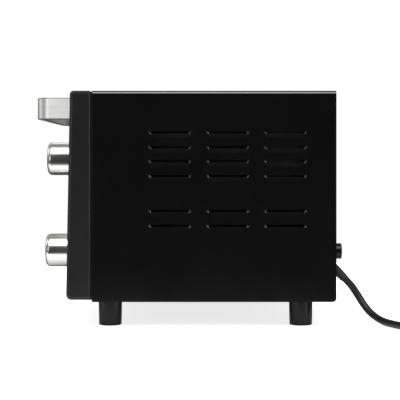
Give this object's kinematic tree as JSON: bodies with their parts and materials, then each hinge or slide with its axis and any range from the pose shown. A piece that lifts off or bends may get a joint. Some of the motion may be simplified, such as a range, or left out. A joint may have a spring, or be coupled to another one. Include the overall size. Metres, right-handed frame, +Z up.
{
  "type": "toaster oven",
  "caption": "Compact countertop toaster oven with a drop-down glass door, strap handle, control knobs, louvred sides, wire rack, crumb tray and mains lead.",
  "frame": {"origin": "centre of the oven's bounding box, without the mains lead, at the level of the feet's undersides", "axes": "+X towards the control side (the oven's width), -Y towards the user (door side), +Z up"},
  "size_m": [0.3927, 0.4991, 0.2381],
  "materials": {
    "body_black": "satin baked enamel",
    "bezel_black": "satin enamel",
    "brushed_steel": "brushed",
    "zinc_steel": "zinc plated",
    "aluminised": "dull aluminised sheet",
    "chrome_wire": "bright plated wire",
    "rod_sheath": "oxidised sheath",
    "ceramic": "steatite ceramic",
    "door_black": "satin enamel",
    "glass_clear": "clear tempered",
    "control_plastic": "phenolic moulding",
    "lens_red": "translucent red",
    "foot_black": "satin moulding",
    "cord_black": "matt rubber sheath",
    "plug_brass": "nickelled brass",
    "wire_insulation": "silicone insulation"
  },
  "bodies": {
    "oven_body": {"base_plate": "body_black", "cavity_liner": "aluminised", "control_bracket": "zinc_steel", "control_fascia": "bezel_black", "cord_coil": "cord_black", "foot_front_left": "foot_black", "foot_front_right": "foot_black", "foot_rear_left": "foot_black", "foot_rear_right": "foot_black", "foot_screws": "zinc_steel", "front_frame": "bezel_black", "heat_shield": "zinc_steel", "heater_bushings": "ceramic", "heater_lower_front": "rod_sheath", "heater_lower_rear": "rod_sheath", "heater_upper_front": "rod_sheath", "heater_upper_rear": "rod_sheath", "hinge_lugs": "zinc_steel", "hinge_pins": "zinc_steel", "indicator_lamp": "lens_red", "indicator_lens": "lens_red", "outer_wrap": "body_black", "plug_body": "cord_black", "plug_pins": "plug_brass", "power_cord": "cord_black", "power_cord_tail": "cord_black", "rack_rail_left": "zinc_steel", "rack_rail_right": "zinc_steel", "rear_panel": "body_black", "rear_screws": "zinc_steel", "rear_spacer_left": "foot_black", "rear_spacer_right": "foot_black", "spacer_screws": "zinc_steel", "strain_relief": "cord_black", "terminal_block": "ceramic", "thermostat_body": "control_plastic", "timer_bell": "zinc_steel", "timer_body": "control_plastic", "wire_mains": "wire_insulation", "wire_thermostat": "wire_insulation", "wire_timer": "wire_insulation"},
    "door": {"door_frame": "door_black", "door_glass": "glass_clear", "door_inner_retainer": "aluminised", "rack_pull_hooks": "zinc_steel", "door_handle": "brushed_steel", "handle_screws": "zinc_steel"},
    "rack": {"wire_rack": "chrome_wire"},
    "tray": {"crumb_tray": "aluminised"},
    "thermostat_control": {"thermostat_knob": "brushed_steel", "thermostat_shaft": "zinc_steel"},
    "timer_control": {"timer_knob": "brushed_steel", "timer_shaft": "zinc_steel"}
  },
  "joints": [
    {"name": "door_hinge", "type": "hinge", "parent": "oven_body", "child": "door", "pos_m": [-0.037, -0.12217, 0.05147], "axis": [1, 0, 0], "range_deg": [0, 90]},
    {"name": "rack_slide", "type": "slide", "parent": "oven_body", "child": "rack", "axis": [0, -1, 0], "range_m": [0, 0.0866]},
    {"name": "tray_slide", "type": "slide", "parent": "oven_body", "child": "tray", "axis": [0, -1, 0], "range_m": [0, 0.15]},
    {"name": "thermostat_turn", "type": "hinge", "parent": "oven_body", "child": "thermostat_control", "pos_m": [0.132, -0.13, 0.1698], "axis": [0, 1, 0], "range_deg": [0, 290]},
    {"name": "timer_turn", "type": "hinge", "parent": "oven_body", "child": "timer_control", "pos_m": [0.132, -0.13, 0.0751], "axis": [0, 1, 0], "range_deg": [0, 300]}
  ],
  "couplings": [
    {"joint": "rack_slide", "follows": "door_hinge", "m_per_rad": 0.055}
  ]
}
